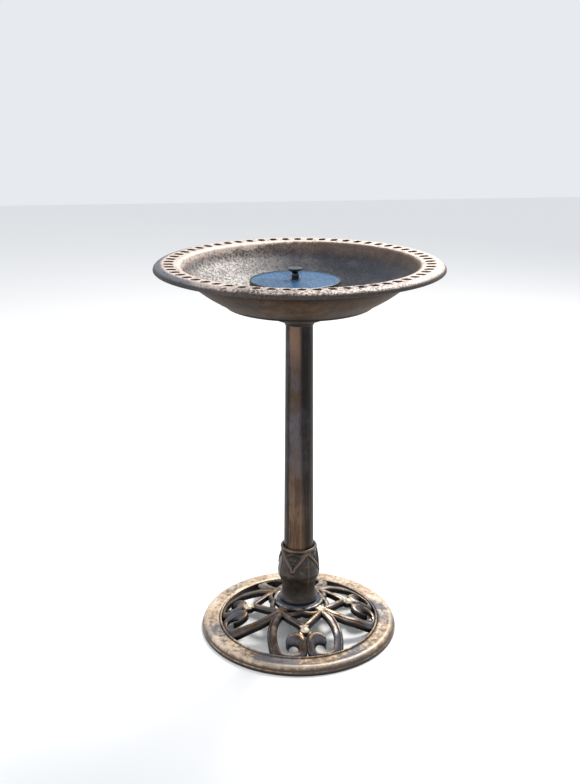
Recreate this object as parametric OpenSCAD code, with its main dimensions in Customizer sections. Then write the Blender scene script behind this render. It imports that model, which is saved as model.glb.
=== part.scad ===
// Pedestal bird bath with a solar fountain. Units are millimetres, +Z is up.
// The origin is on the ground, on the axis of the pedestal.

/* [Basin] */
// Height of the rim above the ground
total_h = 712; // [702:1:722]
// Outer diameter of the rim
basin_d = 508; // [500:1:516]
// Wall thickness of the moulded basin
basin_wall = 4; // [3.5:0.1:4.5]
// Number of oval openings round the rim
slot_count = 60; // [48:1:66]
// Radial length of one rim opening
slot_len = 18; // [14:0.5:19]
// Width of one rim opening along the rim
slot_w = 12.5; // [9:0.5:14]

/* [Pedestal] */
// Outer diameter of the base ring
base_d = 373; // [368:1:380]
// Height of the flat top of the base ring
ring_h = 16.5; // [15:0.5:18]
// Radius of the pole at its lower end
pole_r_low = 28.2; // [27.5:0.1:28.6]
// Radius of the pole at its upper end
pole_r_top = 24.4; // [23.8:0.1:25]
// Wall thickness of the pole
pole_wall = 2.5; // [2:0.1:3]
// Radius of the head flange that carries the basin
head_r = 45; // [43:0.5:47]

/* [Scrollwork] */
// Width of the petal loops
petal_w = 16; // [14:0.5:17]
// Thickness of the scrollwork, measured upright
scroll_t = 11; // [9:0.5:12]

/* [Fountain] */
// Diameter of the floating solar disc
disc_d = 160; // [158:0.5:162]
// Height of the spray nozzle above the disc
nozzle_h = 20.5; // [18:0.5:24]
// Number of spray holes in the outer ring of the rose
rose_holes = 12; // [8:1:16]
// Number of impeller blades
blade_count = 6; // [4:1:8]

/* [Hidden] */
$fn = 96;
tall = 80;                                 // height of the prisms that are cut down to the dome

// Heights of the stack, worked down from the rim
gasket_t = 2;
head_flange_t = 9;
basin_foot = total_h - 92;                 // underside of the basin's flat foot
flange_top = basin_foot - gasket_t;
flange_low = flange_top - head_flange_t;
floor_z = basin_foot + basin_wall + 0.5;   // top of the basin's flat floor
foot_r = 46;                               // radius of the basin's flat foot

// Points of the basin's section, from its ledge out to the rolled lip
ledge = [131, basin_foot + 18];
wall_mid = [166, basin_foot + 39];
wall_top = [195, basin_foot + 62];
neck = [207, basin_foot + 77];
lip_w = 16;                                // width and fall of the rounded lip
lip_h = 9.5;
crown_r = basin_d / 2 - lip_w;             // radius of the highest circle of the rim
lip_z = total_h - lip_h;
rim_t = 3.5;
shelf_in = [213, total_h - 1.2];           // inner edge of the pierced shelf
slot_mid_r = 227.5;

// Threaded joint between basin and head, drawn at its pitch radius
stub_r = 16;
stub_len = 16;
thread_gap = 0.3;

// Tie rod and nuts, M8
rod_r = 4;
rod_hole_r = 4.4;
nut_af = 13;
nut_t = 6.5;
socket_floor = flange_top - 26;            // where the upper nut sits

// Collar and hub
hub_top = 56;
hub_r = 48;
hub_t = 10;
collar_top = 170;
pole_seat = 131;
recess_r = 26;                             // locating recess between hub and collar
recess_d = 3;

// Base ring
ring_r = base_d / 2;
ring_in = 149;
ring_wall = 3.5;

// Fountain, worked up from the basin floor
strainer_low = floor_z + 0.1;
disc_top = strainer_low + 56.4;
disc_r = disc_d / 2;
tray_low = disc_top - 10.8;
tray_wall = 2.5;
tray_floor = 2;
cover_t = 2;
cell_t = 0.4;
board_t = 1.6;
cover_r = disc_r - tray_wall - 0.2;
board_low = disc_top - cover_t - cell_t - board_t;
driver_low = tray_low - 5;
housing_r = 34;
housing_wall = 2;
housing_low = strainer_low + 6;
motor_y = 18.5;                            // the motor stands beside the central riser
riser_r = 5;
riser_bore = 3.6;
riser_top = disc_top + 7;
volute_low = housing_low + 10;
volute_h = 10;
volute_r = 12;
well_ceiling = tray_low - 7.4;             // inside top of the well that holds the rotor
shaft_r = 1;
bush_r = 2.6;

// ---------------------------------------------------------------- helpers

// Points along an arc about (cx, cz), from angle a0 to a1
function arc(cx, cz, r, a0, a1, n = 8) =
    [for (i = [0:n]) let (a = a0 + (a1 - a0) * i / n) [cx + r * cos(a), cz + r * sin(a)]];

// Reversed list of points
function back(p) = [for (i = [len(p) - 1:-1:0]) p[i]];

// The line p moved sideways by d
function beside(p, d) =
    [for (i = [0:len(p) - 1])
        let (v = p[min(i + 1, len(p) - 1)] - p[max(i - 1, 0)], n = [-v[1], v[0]] / norm(v)) p[i] + d * n];

// Flat bar of width w along the line p
module bar(p, w) {
    polygon(concat(beside(p, w / 2), back(beside(p, -w / 2))));
}

module ring(r_out, r_in, z0, z1) {
    translate([0, 0, z0])
        difference() {
            cylinder(r = r_out, h = z1 - z0);
            translate([0, 0, -1])
                cylinder(r = r_in, h = z1 - z0 + 2);
        }
}

module hex_nut(z) {
    translate([0, 0, z])
        difference() {
            cylinder(d = nut_af / cos(30), h = nut_t, $fn = 6);
            translate([0, 0, -1])
                cylinder(r = rod_r + 0.05, h = nut_t + 2);
        }
}

// ---------------------------------------------------------------- base

// Channel-shaped ring, open underneath, with a bead round its inner edge
module base_ring() {
    lip_h = ring_h + 1.5;
    rotate_extrude($fn = 180)
        polygon(concat(
            [[ring_in, 0]],
            arc(ring_in + 1.7, lip_h - 1.7, 1.7, 180, 0, 6),
            [[ring_in + 3.4, ring_h], [ring_r - 10, ring_h]],
            arc(ring_r - 10, ring_h - 6, 6, 80, 20, 5),
            [[ring_r - 2, 6.5], [ring_r, 5], [ring_r, 0], [ring_r - ring_wall, 0]],
            [[ring_r - ring_wall, 4], [ring_r - 9, ring_h - ring_wall]],
            [[ring_in + ring_wall, ring_h - ring_wall], [ring_in + ring_wall, 0]]));
}

// Shell that gives the scrollwork its domed top and underside
module dome() {
    top = [[hub_r - 8, hub_top - 2], [hub_r, hub_top - 3], [85, 46], [120, 34], [ring_in + 2, ring_h - 3.5]];
    rotate_extrude($fn = 180)
        polygon(concat(top, back([for (p = top) [p[0], p[1] - scroll_t]])));
}

// Half of a petal loop, drawn about +X: a long side arc, then a tight arc at its foot
function petal_line() =
    let (side_c = [104, -34], side_r = 95.5, join_a = 75, end_r = 26,
         end_c = side_c + (side_r - end_r) * [cos(join_a), sin(join_a)])
    concat(arc(side_c[0], side_c[1], side_r, 138, join_a, 9),
           arc(end_c[0], end_c[1], end_r, join_a - 12, -24, 8));

// Lily figure on the axis of a petal: two scrolls back to back, a flared foot and a round knob
module lily() {
    for (m = [0, 1])
        mirror([0, m])
            difference() {
                union() {
                    translate([117, 19.5])
                        circle(r = 18.5);
                    translate([110, -1])
                        square([40, 16]);
                    translate([137, -1])
                        square([13, 39]);
                }
                translate([130, 25])
                    circle(r = 9.5);
                translate([129, 25])
                    square([8, 20]);
            }
    translate([91.5, 0])
        circle(r = 9);
    translate([91, -4])
        square([20, 8]);
}

// Pointed arch between the ring of lobes and the lily's knob
module arch() {
    for (m = [-1, 1])
        bar([[50, 33.5 * m], [58, 27.5 * m], [90, 0]], 9);
}

// One lobe of the ring round the hub, and the spoke that reaches the petals at its tip
module lobe() {
    bar(arc(26, 0, 34, -84, 84, 16), 8);
    bar([[hub_r - 8, 0], [66, 0]], 10);
}

module scroll_plan() {
    for (k = [0:3])
        rotate(90 * k) {
            for (m = [0, 1])
                mirror([0, m])
                    bar(petal_line(), petal_w);
            lily();
            arch();
            rotate(45)
                lobe();
        }
}

module scrollwork() {
    intersection() {
        dome();
        linear_extrude(tall)
            scroll_plan();
    }
}

module base() {
    color("#8a6b48") {
        base_ring();
        scrollwork();
        difference() {
            rotate_extrude()
                polygon([[0, hub_top - hub_t], [hub_r - 2, hub_top - hub_t], [hub_r, hub_top - hub_t + 2],
                         [hub_r, hub_top - 4], [hub_r - 3, hub_top - 1], [hub_r - 6, hub_top],
                         [recess_r, hub_top], [recess_r, hub_top - recess_d], [0, hub_top - recess_d]]);
            cylinder(r = rod_hole_r, h = 100);
        }
    }
}

// ---------------------------------------------------------------- pedestal

// Tulip-shaped collar: foot, waist, swelling, and a socket for the pole
module leaf_collar() {
    low = hub_top;
    foot_z = low + 8;
    plug_low = low - recess_d + 0.2;
    color("#5c4630")
        rotate_extrude()
            polygon(concat(
                [[rod_hole_r, plug_low], [recess_r - 0.3, plug_low], [recess_r - 0.3, low]],
                arc(32, low + 4, 4, -90, 60, 5),
                [[34, foot_z + 2], [32.2, foot_z + 8], [31.6, low + 26], [32.4, low + 34]],
                arc(16, low + 59, 24, -42, 30, 8),
                [[35.6, low + 86], [34.4, low + 98], [34.2, collar_top - 4]],
                arc(pole_r_low + 3, collar_top - 3, 3, 0, 90, 4),
                [[pole_r_low + 0.5, collar_top], [pole_r_low + 0.5, pole_seat], [24, pole_seat],
                 [24, low + 8], [rod_hole_r, low + 8]]));
}

function pole_r(z) = pole_r_low + (pole_r_top - pole_r_low) * (z - pole_seat) / (flange_low - pole_seat);

// Tapered moulded tube
module pole() {
    z1 = flange_low;
    color("#4b3a2a")
        rotate_extrude()
            polygon([[pole_r(pole_seat) - pole_wall, pole_seat], [pole_r(pole_seat), pole_seat],
                     [pole_r(z1), z1], [pole_r(z1) - pole_wall, z1]]);
}

// Head pressed into the pole: flange, skirt outside, plug inside, threaded socket for the basin
module pole_head() {
    skirt_low = flange_low - 9;
    plug_low = socket_floor - 8;
    plug_gap = 0.15;
    color("#3a2f26")
        difference() {
            rotate_extrude()
                polygon([[0, plug_low], [pole_r(plug_low) - pole_wall - plug_gap, plug_low],
                         [pole_r(flange_low) - pole_wall - plug_gap, flange_low],
                         [pole_r(flange_low) + plug_gap, flange_low],
                         [pole_r(skirt_low) + plug_gap, skirt_low],
                         [26, skirt_low], [26.6, skirt_low + 1], [26.6, flange_low - 2], [29, flange_low],
                         [head_r - 3, flange_low], [head_r, flange_low + 3],
                         [head_r, flange_top], [0, flange_top]]);
            translate([0, 0, socket_floor])
                cylinder(r = stub_r + thread_gap, h = 60);
            cylinder(r = rod_hole_r, h = total_h);
        }
}

module tie_rod() {
    z0 = hub_top - hub_t - 14;
    color("silver")
        translate([0, 0, z0])
            cylinder(r = rod_r, h = socket_floor + nut_t + 2 - z0);
}

module tie_rod_nut() {
    color("silver")
        hex_nut(socket_floor);
}

module base_washer() {
    color("silver")
        ring(15, rod_hole_r, hub_top - hub_t - 2, hub_top - hub_t);
}

module base_nut() {
    color("silver")
        hex_nut(hub_top - hub_t - 2 - nut_t);
}

// ---------------------------------------------------------------- basin

module basin_gasket() {
    color("#202020")
        ring(head_r - 1, stub_r + 1.5, flange_top, basin_foot);
}

// Quarter of an oval from the crown to the lip's edge, or back
function lip_arc(w, h, a0, a1) = [for (p = arc(0, 0, 1, a0, a1)) [crown_r + w * p[0], lip_z + h * p[1]]];

// A point of the outside, moved to the inside
function inward(p, d) = [p[0] - 0.53 * d, p[1] + 0.85 * d];

module basin_section() {
    outer = [[0, basin_foot], [foot_r, basin_foot], [70, basin_foot + 4], [100, basin_foot + 10],
             [126, basin_foot + 15.8], [128, basin_foot + 15.8], ledge, wall_mid, wall_top, neck,
             [shelf_in[0] + 2.5, shelf_in[1] - rim_t]];
    lip_under = lip_arc(lip_w - rim_t, lip_h - rim_t, 90, 0);
    lip_over = lip_arc(lip_w, lip_h, 0, 90);
    inner = [shelf_in, [shelf_in[0] - 4, shelf_in[1] - 2.2], [shelf_in[0] - 7, shelf_in[1] - 5.4],
             inward(neck, basin_wall + 0.6),
             inward(wall_top, basin_wall), inward(wall_mid, basin_wall), inward(ledge, basin_wall + 1),
             [122, basin_foot + 20.2], [100, basin_foot + 14.6], [70, basin_foot + 8.4], [50, floor_z],
             [0, floor_z]];
    polygon(concat(outer, lip_under,
                   [[basin_d / 2 - rim_t, lip_z - 1.3], [basin_d / 2, lip_z - 1.3]],
                   lip_over, inner));
}

// Oval through the shelf of the rim, its long way along the radius
module rim_slot() {
    run = slot_len - slot_w;
    translate([slot_mid_r - run / 2, 0, lip_z - 10]) {
        cylinder(d = slot_w, h = 40, $fn = 32);
        translate([0, -slot_w / 2, 0])
            cube([run, slot_w, 40]);
        translate([run, 0, 0])
            cylinder(d = slot_w, h = 40, $fn = 32);
    }
}

module basin() {
    color("#a98a68") {
        difference() {
            rotate_extrude($fn = 180)
                basin_section();
            for (k = [0:slot_count - 1])
                rotate([0, 0, k * 360 / slot_count])
                    rim_slot();
        }
        translate([0, 0, basin_foot - stub_len])
            cylinder(r = stub_r, h = stub_len + 1);
    }
}

// ---------------------------------------------------------------- fountain

// The float rests a little off the basin's axis
module on_float_axis() {
    translate([-8, -5, 0])
        children();
}

module on_motor_axis() {
    translate([0, motor_y, 0])
        children();
}

// Places of the three screws that hold the pump housing to the float
module at_screws() {
    for (a = [30, 150, 270])
        rotate([0, 0, a])
            translate([27, 0, 0])
                children();
}

// Places of the two wires
module at_leads() {
    for (x = [-12, 12])
        translate([x, 0, 0])
            children();
}

module float_tray() {
    color("#181818")
        difference() {
            union() {
                ring(disc_r, disc_r - tray_wall, tray_low, disc_top);
                ring(disc_r - 1, riser_r + 0.2, tray_low, tray_low + tray_floor);
                ring(disc_r - 1, disc_r - tray_wall - 3, tray_low, board_low);
            }
            at_screws()
                translate([0, 0, tray_low - 1])
                    cylinder(r = 1.6, h = 8, $fn = 32);
            at_leads()
                translate([0, 0, tray_low - 1])
                    cylinder(r = 1, h = 8, $fn = 32);
        }
}

module buoyancy_foam() {
    color("white")
        ring(disc_r - tray_wall - 3.5, 36, tray_low + tray_floor, board_low - 0.3);
}

module panel_board() {
    color("#1d3a25")
        ring(cover_r, riser_r + 1, board_low, board_low + board_t);
}

// Cells cut as strips of the round panel, with a gap between neighbours
module solar_cells() {
    z0 = board_low + board_t;
    strips = 6;
    pitch = 2 * (cover_r - 5) / strips;
    color("#1b3f7a")
        for (i = [0:strips - 1])
            intersection() {
                ring(cover_r - 4, riser_r + 6, z0, z0 + cell_t);
                translate([(i - strips / 2) * pitch + 0.6, -disc_r, z0 - 1])
                    cube([pitch - 1.2, disc_d, 4]);
            }
}

module panel_cover() {
    color([0.2, 0.4, 0.75, 0.6])
        ring(cover_r, riser_r + 4.5, disc_top - cover_t, disc_top);
}

// Ring that seals the panel round the riser and clamps the float to the pump
module panel_collar() {
    color("#101010")
        rotate_extrude()
            polygon([[riser_r + 0.05, disc_top - cover_t], [riser_r + 4.4, disc_top - cover_t],
                     [riser_r + 4.4, disc_top], [riser_r + 3.6, disc_top + 1],
                     [riser_r + 0.05, disc_top + 1]]);
}

// Cup under the float, closed above by the float and below by the strainer
module pump_housing() {
    color("#151515")
        difference() {
            union() {
                ring(housing_r, housing_r - housing_wall, housing_low, tray_low);
                at_screws()
                    translate([0, 0, tray_low - 12])
                        cylinder(r = 3.6, h = 12, $fn = 48);
                at_screws()
                    translate([0, -1, tray_low - 12])
                        cube([housing_r - 28.4, 2, 12]);
            }
            at_screws()
                translate([0, 0, tray_low - 13])
                    cylinder(r = 1.3, h = 20, $fn = 32);
        }
}

// Laminated core with its coils standing through it
module stator() {
    core_r = 10.2;
    z0 = volute_low + volute_h + 1;
    color("#b5651d")
        on_motor_axis() {
            ring(12, 8.4, z0 + 3, z0 + 8);
            for (k = [0:5])
                rotate([0, 0, 60 * k])
                    translate([core_r, 0, z0])
                        cylinder(r = 1.6, h = 11, $fn = 48);
        }
}

module driver_board() {
    color("#1d5a35")
        translate([0, 0, driver_low])
            intersection() {
                ring(24, riser_r + 1, 0, board_t);
                translate([-17, -3, -1])
                    cube([34, 34, 4]);
            }
}

// Two wires from the motor's board up through the float to the panel
module motor_leads() {
    color("red")
        at_leads()
            translate([0, 0, driver_low + board_t])
                cylinder(r = 0.7, h = board_low - driver_low - board_t, $fn = 24);
}

module impeller_shaft() {
    color("white")
        on_motor_axis()
            translate([0, 0, volute_low - 2])
                cylinder(r = shaft_r, h = well_ceiling - volute_low + 2, $fn = 32);
}

module shaft_bushes() {
    color("#303030")
        on_motor_axis() {
            ring(bush_r, shaft_r, volute_low - 2.6, volute_low + 0.6);
            ring(bush_r, shaft_r, well_ceiling - 2, well_ceiling);
        }
}

// Pump body: volute, rotor well, and the riser that carries the nozzle
module volute() {
    color("#202020")
        difference() {
            union() {
                on_motor_axis() {
                    translate([0, 0, volute_low])
                        cylinder(r = volute_r, h = volute_h + 1);
                    translate([0, 0, volute_low])
                        cylinder(r = 8.2, h = well_ceiling + 0.8 - volute_low);
                }
                translate([0, 0, volute_low])
                    cylinder(r = riser_r, h = riser_top - volute_low);
                translate([0, 0, tray_low - 2])
                    cylinder(r = riser_r + 3, h = 2);
                translate([-4, 2, volute_low + 2.3])
                    cube([8, 7, volute_h - 2.3]);
            }
            on_motor_axis() {
                translate([0, 0, volute_low - 1])
                    cylinder(r = volute_r - 1.5, h = volute_h - 0.5);
                translate([0, 0, volute_low])
                    cylinder(r = 7.4, h = well_ceiling - volute_low);
            }
            translate([0, 0, volute_low + 3.5])
                cylinder(r = riser_bore, h = 100);
            translate([-2.5, 0, volute_low + 3.5])
                cube([5, 10, 4.5]);
        }
}

// Cap pushed over the volute, with the pump's inlet holes
module volute_cover() {
    color("#181818")
        on_motor_axis()
            difference() {
                union() {
                    ring(volute_r + 1.2, bush_r + 0.05, volute_low - 2.6, volute_low - 1);
                    ring(volute_r + 1.2, volute_r + 0.1, volute_low - 2, volute_low + 2);
                }
                for (k = [0:7])
                    rotate([0, 0, 45 * k])
                        translate([6.5, 0, volute_low - 4])
                            cylinder(r = 1.6, h = 5, $fn = 24);
            }
}

module cover_o_ring() {
    color("black")
        on_motor_axis()
            translate([0, 0, volute_low - 0.5])
                rotate_extrude()
                    translate([volute_r - 0.75, 0])
                        circle(r = 0.5, $fn = 24);
}

// Dished cover with radial intake slots and four pads, pushed over the housing
module intake_strainer() {
    plate_low = strainer_low + 2;
    color("#151515")
        difference() {
            union() {
                ring(housing_r + 2, housing_r + 0.2, plate_low, housing_low + 2);
                translate([0, 0, plate_low])
                    cylinder(r = housing_r + 2, h = 2);
                ring(housing_r, housing_r - housing_wall, plate_low + 1, housing_low);
                for (k = [0:3])
                    rotate([0, 0, 45 + 90 * k])
                        translate([27, 0, strainer_low])
                            cylinder(r = 3, h = 2.5, $fn = 48);
            }
            for (k = [0:23])
                rotate([0, 0, 15 * k + 7.5])
                    translate([9, -0.9, strainer_low + 1])
                        cube([14, 1.8, 5]);
        }
}

module housing_screws() {
    color("silver")
        at_screws() {
            translate([0, 0, tray_low - 8])
                cylinder(r = 1.25, h = 8 + tray_floor + 0.5, $fn = 32);
            translate([0, 0, tray_low + tray_floor])
                cylinder(r = 2.8, h = 1.6, $fn = 32);
        }
}

module impeller() {
    z0 = volute_low + 1;
    hub_end = well_ceiling - 2.4;
    color("white")
        on_motor_axis()
            difference() {
                union() {
                    translate([0, 0, z0 + 5])
                        cylinder(r = 9.2, h = 1.2);
                    translate([0, 0, z0])
                        cylinder(r = 3, h = hub_end - z0);
                    for (k = [0:blade_count - 1])
                        rotate([0, 0, 360 / blade_count * k])
                            translate([2, -0.5, z0])
                                cube([7, 1, 5.5]);
                }
                translate([0, 0, z0 - 1])
                    cylinder(r = shaft_r + 0.05, h = 40, $fn = 32);
            }
}

module rotor_magnet() {
    z0 = volute_low + 7.4;
    color("#404040")
        on_motor_axis()
            ring(6.8, 3, z0, z0 + 10);
}

// Push-on nozzle: stem and flared cup
module nozzle_body() {
    low = disc_top + 1.2;
    top = disc_top + nozzle_h;
    color("#121212")
        rotate_extrude()
            polygon([[riser_r + 0.06, low], [6.4, low], [6.4, low + 6.8], [5.6, low + 8.4], [5.3, top - 10.5],
                     [5.6, top - 9], [12.4, top - 3.6], [13, top - 2.8], [13, top - 1.5], [11.4, top - 1.5],
                     [11.4, top - 2.9], [4, top - 8.4], [3.4, top - 9.8], [3.4, low + 7.4],
                     [riser_r + 0.06, low + 6.4]]);
}

// Perforated lid of the nozzle
module nozzle_rose() {
    top = disc_top + nozzle_h;
    color("#222222")
        difference() {
            rotate_extrude()
                polygon([[0, top - 2.4], [11.3, top - 2.4], [11.3, top - 1.5], [13, top - 1.5],
                         [12.6, top - 0.6], [6, top], [0, top]]);
            for (k = [0:rose_holes - 1])
                rotate([0, 0, 360 / rose_holes * k])
                    translate([8.5, 0, top - 4])
                        cylinder(r = 0.6, h = 8, $fn = 24);
            for (k = [0:5])
                rotate([0, 0, 60 * k])
                    translate([4.4, 0, top - 4])
                        cylinder(r = 0.6, h = 8, $fn = 24);
        }
}

// ---------------------------------------------------------------- nodes

base();
leaf_collar();
pole();
pole_head();
tie_rod();
tie_rod_nut();
base_washer();
base_nut();
basin_gasket();
basin();
on_float_axis() float_tray();
on_float_axis() buoyancy_foam();
on_float_axis() panel_board();
on_float_axis() solar_cells();
on_float_axis() panel_cover();
on_float_axis() panel_collar();
on_float_axis() pump_housing();
on_float_axis() stator();
on_float_axis() driver_board();
on_float_axis() motor_leads();
on_float_axis() impeller_shaft();
on_float_axis() shaft_bushes();
on_float_axis() volute();
on_float_axis() volute_cover();
on_float_axis() cover_o_ring();
on_float_axis() intake_strainer();
on_float_axis() housing_screws();
on_float_axis() impeller();
on_float_axis() rotor_magnet();
on_float_axis() nozzle_body();
on_float_axis() nozzle_rose();
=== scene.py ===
"""Pedestal bird bath with a floating solar fountain: its finishes and its finely shaped pieces."""

import math

import bmesh
import bpy
from bpy.props import FloatProperty, FloatVectorProperty, IntProperty, PointerProperty
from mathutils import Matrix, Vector


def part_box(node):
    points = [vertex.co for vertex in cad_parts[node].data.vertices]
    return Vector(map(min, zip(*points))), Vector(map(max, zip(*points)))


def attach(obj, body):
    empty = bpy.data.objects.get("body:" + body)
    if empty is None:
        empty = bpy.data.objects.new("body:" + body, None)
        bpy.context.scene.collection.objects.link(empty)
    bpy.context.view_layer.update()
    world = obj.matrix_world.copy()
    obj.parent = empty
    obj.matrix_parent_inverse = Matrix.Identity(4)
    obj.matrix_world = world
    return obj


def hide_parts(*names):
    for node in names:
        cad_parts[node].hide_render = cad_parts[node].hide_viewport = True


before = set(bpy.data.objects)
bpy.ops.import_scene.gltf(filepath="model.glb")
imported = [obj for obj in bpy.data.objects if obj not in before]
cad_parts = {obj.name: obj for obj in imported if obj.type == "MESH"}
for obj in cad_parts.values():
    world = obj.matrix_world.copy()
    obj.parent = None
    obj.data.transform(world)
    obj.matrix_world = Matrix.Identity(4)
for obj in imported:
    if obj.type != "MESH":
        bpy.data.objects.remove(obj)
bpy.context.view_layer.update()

bl_info = {
    "name": "Bird Bath Finisher",
    "version": (1, 0, 0),
    "blender": (4, 5, 0),
    "location": "View3D > Sidebar > Bird Bath",
    "description": "Shapes and paints the pieces of a pedestal bird bath",
    "category": "Object",
}

MM = 0.001


def top_of(node):
    """Highest point of a node, in millimetres."""
    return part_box(node)[1].z / MM


def foot_of(node):
    """Lowest point of a node, in millimetres."""
    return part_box(node)[0].z / MM


def reach_of(node):
    """Half the width of a node along X, in millimetres."""
    low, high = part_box(node)
    return (high.x - low.x) / 2 / MM


def middle_of(node):
    """Centre of a node in plan, in millimetres."""
    low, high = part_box(node)
    return (low.x + high.x) / 2 / MM, (low.y + high.y) / 2 / MM


def tint(red, green, blue):
    """A colour given from 0 to 255 as a screen shows it, as the linear values that a shader takes."""
    return tuple(((c / 255 + 0.055) / 1.055) ** 2.4 if c > 10 else c / 3295 for c in (red, green, blue))


# ------------------------------------------------------------------ properties


def size(name, description, default):
    """A length in millimetres that a user may change."""
    return FloatProperty(name=name, description=description, default=default, min=0.0)


def colour(name, description, rgb):
    """A colour that a user may change."""
    return FloatVectorProperty(
        name=name, description=description, subtype="COLOR", size=3, min=0.0, max=1.0, default=tint(*rgb)
    )


class BasinSizes(bpy.types.PropertyGroup):
    """Sizes of the basin, in millimetres."""

    slots: IntProperty(name="Slots", description="Oval openings round the rim", default=60, min=12)
    slot_length: size("Slot length", "Length of an opening along the radius", 18.0)
    slot_width: size("Slot width", "Width of an opening along the rim", 12.5)
    slot_middle: size("Slot radius", "Distance of the openings from the axis", 227.5)
    slot_round: size("Slot edge", "Rounding of the upper edge of an opening", 0.8)
    wall: size("Wall", "Thickness of the rim", 3.5)
    thread_pitch: size("Thread pitch", "Rise of the foot's thread in one turn", 5.0)


class BaseSizes(bpy.types.PropertyGroup):
    """Sizes of the base casting, in millimetres."""

    petal_width: size("Petal width", "Width of the petal bars", 18.0)
    arch_width: size("Arch width", "Width of the pointed arches", 12.0)
    lobe_width: size("Lobe width", "Width of the lobes round the hub", 10.0)
    bar_depth: size("Bar depth", "Upright thickness of the bars", 11.0)
    hub_radius: size("Hub radius", "Radius of the hub's flange", 48.0)


class CollarSizes(bpy.types.PropertyGroup):
    """Sizes of the leaf collar, in millimetres."""

    leaves: IntProperty(name="Leaves", description="Leaves round the collar", default=4, min=2)
    gap_turn: FloatProperty(
        name="First gap", description="Bearing of the first gap between leaves", subtype="ANGLE",
        default=math.radians(246),
    )
    rib: size("Rib height", "How far a leaf's rib stands out", 2.3)
    hollow: size("Hollow depth", "How far the gap between two leaves is sunk", 2.6)


class Finishes(bpy.types.PropertyGroup):
    """Colours of the paint and the mouldings."""

    # Several colours are also laid as painted light: soot as painted shade, cream as painted highlight, slate
    # as a painted shadow and painted reflection of the sky, ash and copper on the painted lit side of the
    # basin, copper in the pole's painted highlight, belly as painted shade at the front of the lip
    cream: colour("Cream", "Worn high spots of the base ring", (214, 196, 174))
    gold: colour("Gold", "Rubbed bronze paint", (142, 110, 76))
    umber: colour("Umber", "Dark bronze paint", (66, 52, 39))
    soot: colour("Soot", "Black undercoat", (24, 21, 19))
    slate: colour("Slate", "Bluish grey bloom on the paint", (86, 90, 102))
    navy: colour("Navy", "Inside of the basin", (38, 40, 52))
    copper: colour("Copper", "Copper wash on the basin", (150, 118, 96))
    rim: colour("Rim", "Pale copper of the rim", (212, 194, 182))
    ash: colour("Ash", "Pale wash inside the basin", (150, 143, 138))
    belly: colour("Belly", "Underside of the basin", (52, 34, 19))
    cell: colour("Cell", "Solar cells", (38, 100, 150))


# ------------------------------------------------------------------ shader maths


class Val:
    """A value in a material. Arithmetic on it adds the nodes that work it out."""

    def __init__(self, paint, socket):
        self.paint = paint
        self.socket = socket

    def maths(self, operation, *others):
        return self.paint.maths(operation, self, *others)

    def __add__(self, other):
        return self.maths("ADD", other)

    __radd__ = __add__

    def __mul__(self, other):
        return self.maths("MULTIPLY", other)

    __rmul__ = __mul__

    def __sub__(self, other):
        return self.maths("SUBTRACT", other)

    def __rsub__(self, other):
        return self.paint.maths("SUBTRACT", other, self)

    def __truediv__(self, other):
        return self.maths("DIVIDE", other)

    def __abs__(self):
        return self.maths("ABSOLUTE")

    def step(self, low, high):
        """Rises smoothly from 0 at low to 1 at high, or falls where low is above high."""
        node = self.paint.node(
            "ShaderNodeMapRange",
            {"interpolation_type": "SMOOTHSTEP"},
            {"From Min": low, "From Max": high, 0: self},
        )
        return Val(self.paint, node.outputs[0])


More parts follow.
